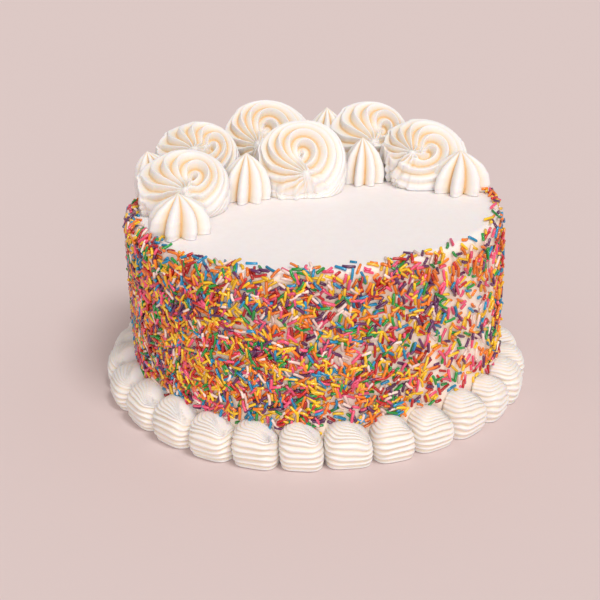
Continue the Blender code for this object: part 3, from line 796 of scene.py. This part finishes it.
def swirl_rings(spec):
    """Rings of points and tones of a swirl, from its eye over its face and down to the cake."""
    x0, y0, eye_height, tilt, shift_right, shift_up, pinch_angle, pinch_distance, size = spec
    half = FIELD_MARGIN * SWIRL_RADIUS
    line = np.linspace(-half, half, int(2.0 * half / FIELD_CELL) + 1)
    grid = np.meshgrid(line, line, indexing="ij")
    rise, covered, tone = swirl_relief(*grid, pinch_angle, pinch_distance)
    rise = soften(rise)
    cover = soften(covered.astype(float))
    tone = soften(tone)
    phi = np.linspace(0.0, 2.0 * np.pi, SWIRL_COLUMNS, endpoint=False)
    cos = np.cos(phi)
    sin = np.sin(phi)
    probe = np.linspace(*OUTLINE_PROBE) * SWIRL_RADIUS
    filled = read_grid(cover, half, cos[:, None] * probe, sin[:, None] * probe) > OUTLINE_COVER
    outline = probe[filled.shape[1] - 1 - np.argmax(filled[:, ::-1], axis=1)]
    outline = 0.25 * np.roll(outline, 1) + 0.5 * outline + 0.25 * np.roll(outline, -1)
    lean = math.radians(tilt)
    right = np.array((1.0, 0.0, 0.0))
    up = np.array((0.0, math.cos(lean), math.sin(lean)))
    face = np.array((0.0, -math.sin(lean), math.cos(lean)))
    middle = np.array((x0, y0 - EYE_FORWARD, eye_height))
    low = np.clip((-sin - LOW_START) / LOW_WIDTH, 0.0, 1.0)
    low = low * low * (3.0 - 2.0 * low)
    crest = read_grid(tone, half, EDGE_SHARE * outline * cos, EDGE_SHARE * outline * sin)
    rings = []
    tones = []
    for grown in np.linspace(0.0, 1.0, FACE_ROWS + 1)[1:]:
        share = 1.0 - (1.0 - grown) ** FACE_ROW_POWER
        rx = outline * share * cos
        ry = outline * share * sin
        lift = read_grid(rise, half, rx, ry) * (1.0 - low * share ** LOW_FADE)
        if grown == 1.0:
            lift = np.zeros(SWIRL_COLUMNS)
        tones.append(read_grid(tone, half, rx, ry))
        points_out = 1.0 + EDGE_POINTS * (crest - EDGE_MIDDLE) * share ** EDGE_POINTS_POWER
        rx = rx * points_out
        ry = ry * points_out
        stay = 1.0 - share ** 2
        sideways = np.outer(rx + shift_right * stay, right) + np.outer(ry + shift_up * stay, up)
        rings.append(middle + size * (sideways + np.outer(lift, face)))
    outward = np.stack((cos, sin, np.zeros(SWIRL_COLUMNS)), axis=1)
    edge = (crest - EDGE_MIDDLE)[:, None] * outward
    rim = rings[-1] + RIM_FLARE * edge
    rings[-1] = rim
    tones[-1] = crest
    reach = size * outline / SWIRL_RADIUS
    foot = np.stack((
        x0 + FOOTPRINT[0] * reach * cos,
        y0 + FOOTPRINT[1] * reach * sin,
        np.zeros(SWIRL_COLUMNS)), axis=1)
    foot = foot + FOOT_FLARE * edge
    tall = rim[:, 2:3] / (2.0 * eye_height)
    for row in range(1, SKIRT_ROWS + 1):
        share = row / SKIRT_ROWS
        bulge = SKIRT_BULGE * math.sin(math.pi * share) * tall
        bell = math.sqrt(share * (1.0 - share) * 4.0)
        side_crest = rounded_ridge(phi + SKIRT_SLANT * share, SKIRT_LOBES)
        groove = SKIRT_GROOVE * bell * tall * (1.0 - side_crest[:, None])
        rings.append(rim * (1.0 - share) + foot * share + outward * (bulge - groove))
        # Painted shade in the grooves of the outer side, blended in over its middle.
        skirt_painted_shade = SKIRT_GROOVE_PAINTED_SHADE + (1.0 - SKIRT_GROOVE_PAINTED_SHADE) * side_crest
        tones.append(crest * (1.0 - bell) + skirt_painted_shade * bell)
    for points in rings:
        points[:, 2] = np.maximum(points[:, 2], 0.0)
        points[:, 2] += CAKE_HEIGHT + TOP_SLOPE * points[:, 0]
    return rings[::-1], tones[::-1]


def make_swirl(name, spec, material):
    """One large swirl with crisp ridges."""
    rings, tones = swirl_rings(spec)
    bottom = rings[0].mean(axis=0)
    top = rings[-1].mean(axis=0)
    make_cream(name, rings, tones, bottom, top, SWIRL_END_PAINTED_SHADES, material)


def make_kiss(name, spec, material):
    """One star kiss: deep ridges that meet in a small drawn tip."""
    x, y, radius, height, lean_x, lean_y, turn = spec
    angle = np.linspace(0.0, 2.0 * np.pi, KISS_COLUMNS, endpoint=False)
    fine = np.linspace(0.0, 1.0, KISS_PROFILE_STEPS)
    width = np.interp(fine, *zip(*KISS_PROFILE))
    soft = KISS_PROFILE_SOFTNESS
    kernel = np.hanning(2 * soft + 1)
    padded = np.concatenate((np.full(soft, width[0]), width, -width[-soft - 1:-1][::-1]))
    smooth = np.convolve(padded, kernel / kernel.sum(), mode="valid")
    rings = []
    crest = rounded_ridge(angle, KISS_LOBES) ** KISS_CREST_POWER
    for row in range(KISS_ROWS):
        share = 1.0 - (1.0 - row / KISS_ROWS) ** KISS_ROW_POWER
        wide = max(np.interp(share, fine, smooth), KISS_LEAST_WIDTH)
        spin = math.radians(turn + KISS_TWIST * share)
        depth = KISS_GROOVE * min(1.0, (1.0 - share) * KISS_GROOVE_END)
        flare = 1.0 + KISS_FLARE * crest * math.exp(-share / KISS_FLARE_HEIGHT)
        reach = radius * wide * (1.0 - depth * (1.0 - crest)) * flare
        px = x + lean_x * share ** 2 + reach * np.cos(angle + spin)
        py = y + lean_y * share ** 2 + reach * np.sin(angle + spin)
        pz = CAKE_HEIGHT + TOP_SLOPE * px + height * share
        rings.append(np.stack((px, py, pz), axis=1))
    foot = (x, y, CAKE_HEIGHT + TOP_SLOPE * x)
    tip = (x + lean_x, y + lean_y, foot[2] + height)
    # The ridges' crests are also the tone, so the cream's colours paint golden shade into the
    # grooves.
    make_cream(name, rings, [crest] * KISS_ROWS, foot, tip, KISS_END_PAINTED_SHADES, material)


def shell_depth(angle):
    """How far a shell stands out from the side, at an angle."""
    turn = math.radians(angle)
    to_the_sides = SHELL_SIDE_DEPTH * math.cos(2.0 * turn)
    return SHELL_DEPTH + to_the_sides - SHELL_LEFT_DEPTH * math.cos(turn)


def shell_crest(climb, turn):
    """Crest (1) or groove (0) of a shell's ridges: level below, fanned from the tail above."""
    from_tail = 0.5 - 0.5 * np.cos(turn)
    above = np.maximum(climb - SHELL_FAN_FROM, 0.0) / (1.0 - SHELL_FAN_FROM)
    fan = above / np.maximum(from_tail, SHELL_TAIL_GAP) ** SHELL_FAN_POWER
    start, end = SHELL_FAN_FADE
    fade = np.clip((end - fan) / (end - start), 0.0, 1.0)
    fanned = (1.0 - SHELL_FAN_FROM) * np.minimum(fan, end)
    place = np.minimum(climb, SHELL_FAN_FROM) + fanned
    crest = ridge(2.0 * math.pi * (place + SHELL_RIDGE_START / SHELL_RIDGES), SHELL_RIDGES)
    return SHELL_BARE_CREST + (crest - SHELL_BARE_CREST) * fade


def shell_points(climb, turn, width, depth, height, groove):
    """Points of a shell in its own frame: x to the right along the wall, y outwards, z up.

    climb runs from the foot (0) to the top (1), turn from its left end round to its tail.
    """
    foot = math.sin(math.radians(SHELL_FOOT_LIFT))
    top = math.sin(math.radians(SHELL_TOP_LIFT))
    lift = np.radians(SHELL_FOOT_LIFT + (SHELL_TOP_LIFT - SHELL_FOOT_LIFT) * climb)
    reach = np.cos(lift) ** SHELL_FULLNESS - groove * np.cos(lift) ** SHELL_GROOVE_FADE / depth
    y = depth * reach * np.sin(turn) ** SHELL_SQUARE_OUT
    across = np.sign(np.cos(turn)) * np.abs(np.cos(turn)) ** SHELL_SQUARE_ACROSS
    x = 0.5 * width * reach ** SHELL_NARROWING * across
    x = x * (1.0 + y / CAKE_RADIUS) * (1.0 - SHELL_SHOULDER * climb ** SHELL_SHOULDER_POWER)
    side = 2.0 * x / width
    fall = SHELL_DROP_RIGHT * np.maximum(side, 0.0) ** SHELL_DROP_POWER
    fall = fall + SHELL_DROP_LEFT * np.maximum(-side, 0.0) ** SHELL_DROP_POWER
    x = np.where(x > 0.0, x * (1.0 - SHELL_TAIL_NARROWING * climb ** 2), x)
    x = x - SHELL_LEAN * climb ** 2
    z = height * (np.sin(lift) - foot) / (top - foot)
    return x, y, z * (1.0 - fall * climb)


def shell_sizes():
    """Angle, width as an angle, height and depth of every shell, each a little different."""
    rng = random.Random(SHELL_SEED)
    spreads = (SHELL_WIDTH_SPREAD, SHELL_HEIGHTS, SHELL_DEPTH_SPREAD)
    sizes = [[rng.uniform(*spread) for spread in spreads] for _ in range(SHELL_COUNT)]
    total = sum(width for width, _, _ in sizes)
    start = SHELL_FIRST_ANGLE
    shells = []
    for width, height, depth in sizes:
        wide = 360.0 * width / total
        angle = start + 0.5 * wide
        shells.append((angle, wide, height, depth * shell_depth(angle)))
        start += wide
    return shells


def make_shell(name, spec, rng, material):
    """One piped shell: stacked ridges that fan over the top from its tail."""
    angle, wide, height, depth = spec
    reach = float(side_radius(angle))
    width = 2.0 * reach * math.tan(math.radians(wide) * 0.5) + SHELL_OVERLAP
    sway = rng.uniform(*SWAY_RANGE, 4)
    phases = SWAY_START * sway
    turn = np.linspace(np.pi, 0.0, SHELL_COLUMNS)
    out = np.array((math.cos(math.radians(angle)), math.sin(math.radians(angle)), 0.0))
    right = np.array((-out[1], out[0], 0.0))
    foot = np.array((FOOT_SHIFT_X + reach * out[0], reach * out[1], 0.0)) - out * SHELL_SINK
    slope = RIDGE_SLOPE[0] + RIDGE_SLOPE[1] * sway[2]
    uneven_size, uneven_along, uneven_up = GROOVE_UNEVENNESS
    rings = []
    tones = []
    for climb in np.linspace(0.0, 1.0, SHELL_ROWS_PER_RIDGE * SHELL_RIDGES):
        wander = 0.0
        for (size, along, up), phase in zip((LONG_WANDER, SHORT_WANDER), phases):
            wander = wander + size * np.sin(along * turn + up * climb + phase)
        wander = (wander + slope * np.cos(turn)) * math.sin(math.pi * climb)
        crest = shell_crest(climb + wander, turn)
        waves = np.sin(uneven_up * climb + uneven_along * turn + phases[3])
        uneven = 1.0 + uneven_size * waves
        groove = SHELL_GROOVE * uneven * (1.0 - crest ** SHELL_CREST_POWER)
        x, y, z = shell_points(climb, turn, width, depth, height, groove)
        rings.append(foot + np.outer(x, right) + np.outer(y, out) + np.outer(z, (0.0, 0.0, 1.0)))
        # Painted shade: the grooves take a low tone, which the cream's colours paint tan and
        # golden.
        tones.append(SHELL_GROOVE_PAINTED_SHADE + (1.0 - SHELL_GROOVE_PAINTED_SHADE) * crest)
    bottom = rings[0].mean(axis=0)
    top = rings[-1].mean(axis=0)
    make_cream(name, rings, tones, bottom, top, SHELL_END_PAINTED_SHADES, material)


def make_stage():
    """A plain pale floor and soft studio light."""
    bpy.ops.mesh.primitive_plane_add(size=FLOOR_WIDTH, location=(0.0, 0.0, 0.0))
    floor = bpy.context.object
    floor.name = "floor"
    floor.data.materials.append(new_material("pale_floor", FLOOR_LOOK)[0])
    world = bpy.data.worlds.new("studio")
    bpy.context.scene.world = world
    world.use_nodes = True
    background = world.node_tree.nodes["Background"]
    background.inputs["Color"].default_value = ROOM_COLOUR
    background.inputs["Strength"].default_value = ROOM_LIGHT
    for name, spec in SUNS.items():
        add_sun(name, *spec)


def add_sun(name, way, width, power, colour):
    """A far soft light from one direction."""
    light = bpy.data.lights.new(name, "SUN")
    light.angle = math.radians(width)
    light.energy = power
    light.color = colour
    lamp = bpy.data.objects.new(name, light)
    lamp.rotation_euler = Vector(way).to_track_quat("Z", "Y").to_euler()
    bpy.context.scene.collection.objects.link(lamp)


def make_camera():
    """A long lens in front of the cake, looking down on it a little."""
    camera = bpy.data.cameras.new("photo_view")
    camera.lens = CAMERA_LENS
    camera.sensor_width = CAMERA_FRAME
    camera.clip_end = CAMERA_REACH
    view = bpy.data.objects.new("photo_view", camera)
    view.location = CAMERA_PLACE
    view.rotation_euler = (math.radians(90.0 - CAMERA_FALL), 0.0, 0.0)
    bpy.context.scene.collection.objects.link(view)
    bpy.context.scene.camera = view
    bpy.context.scene.view_settings.view_transform = "Standard"


make_camera()
make_stage()
cream = cream_material()
drum = make_drum(icing_material())
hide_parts("cake")
for piece in make_sprinkles():
    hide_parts("cake")
sway_rng = np.random.default_rng(SWAY_SEED)
for index, spec in enumerate(shell_sizes()):
    make_shell("shell_%02d" % (index + 1), spec, sway_rng, cream)
for name, spec in KISSES.items():
    make_kiss(name, spec, cream)
for name, spec in SWIRLS.items():
    make_swirl(name, spec, cream)
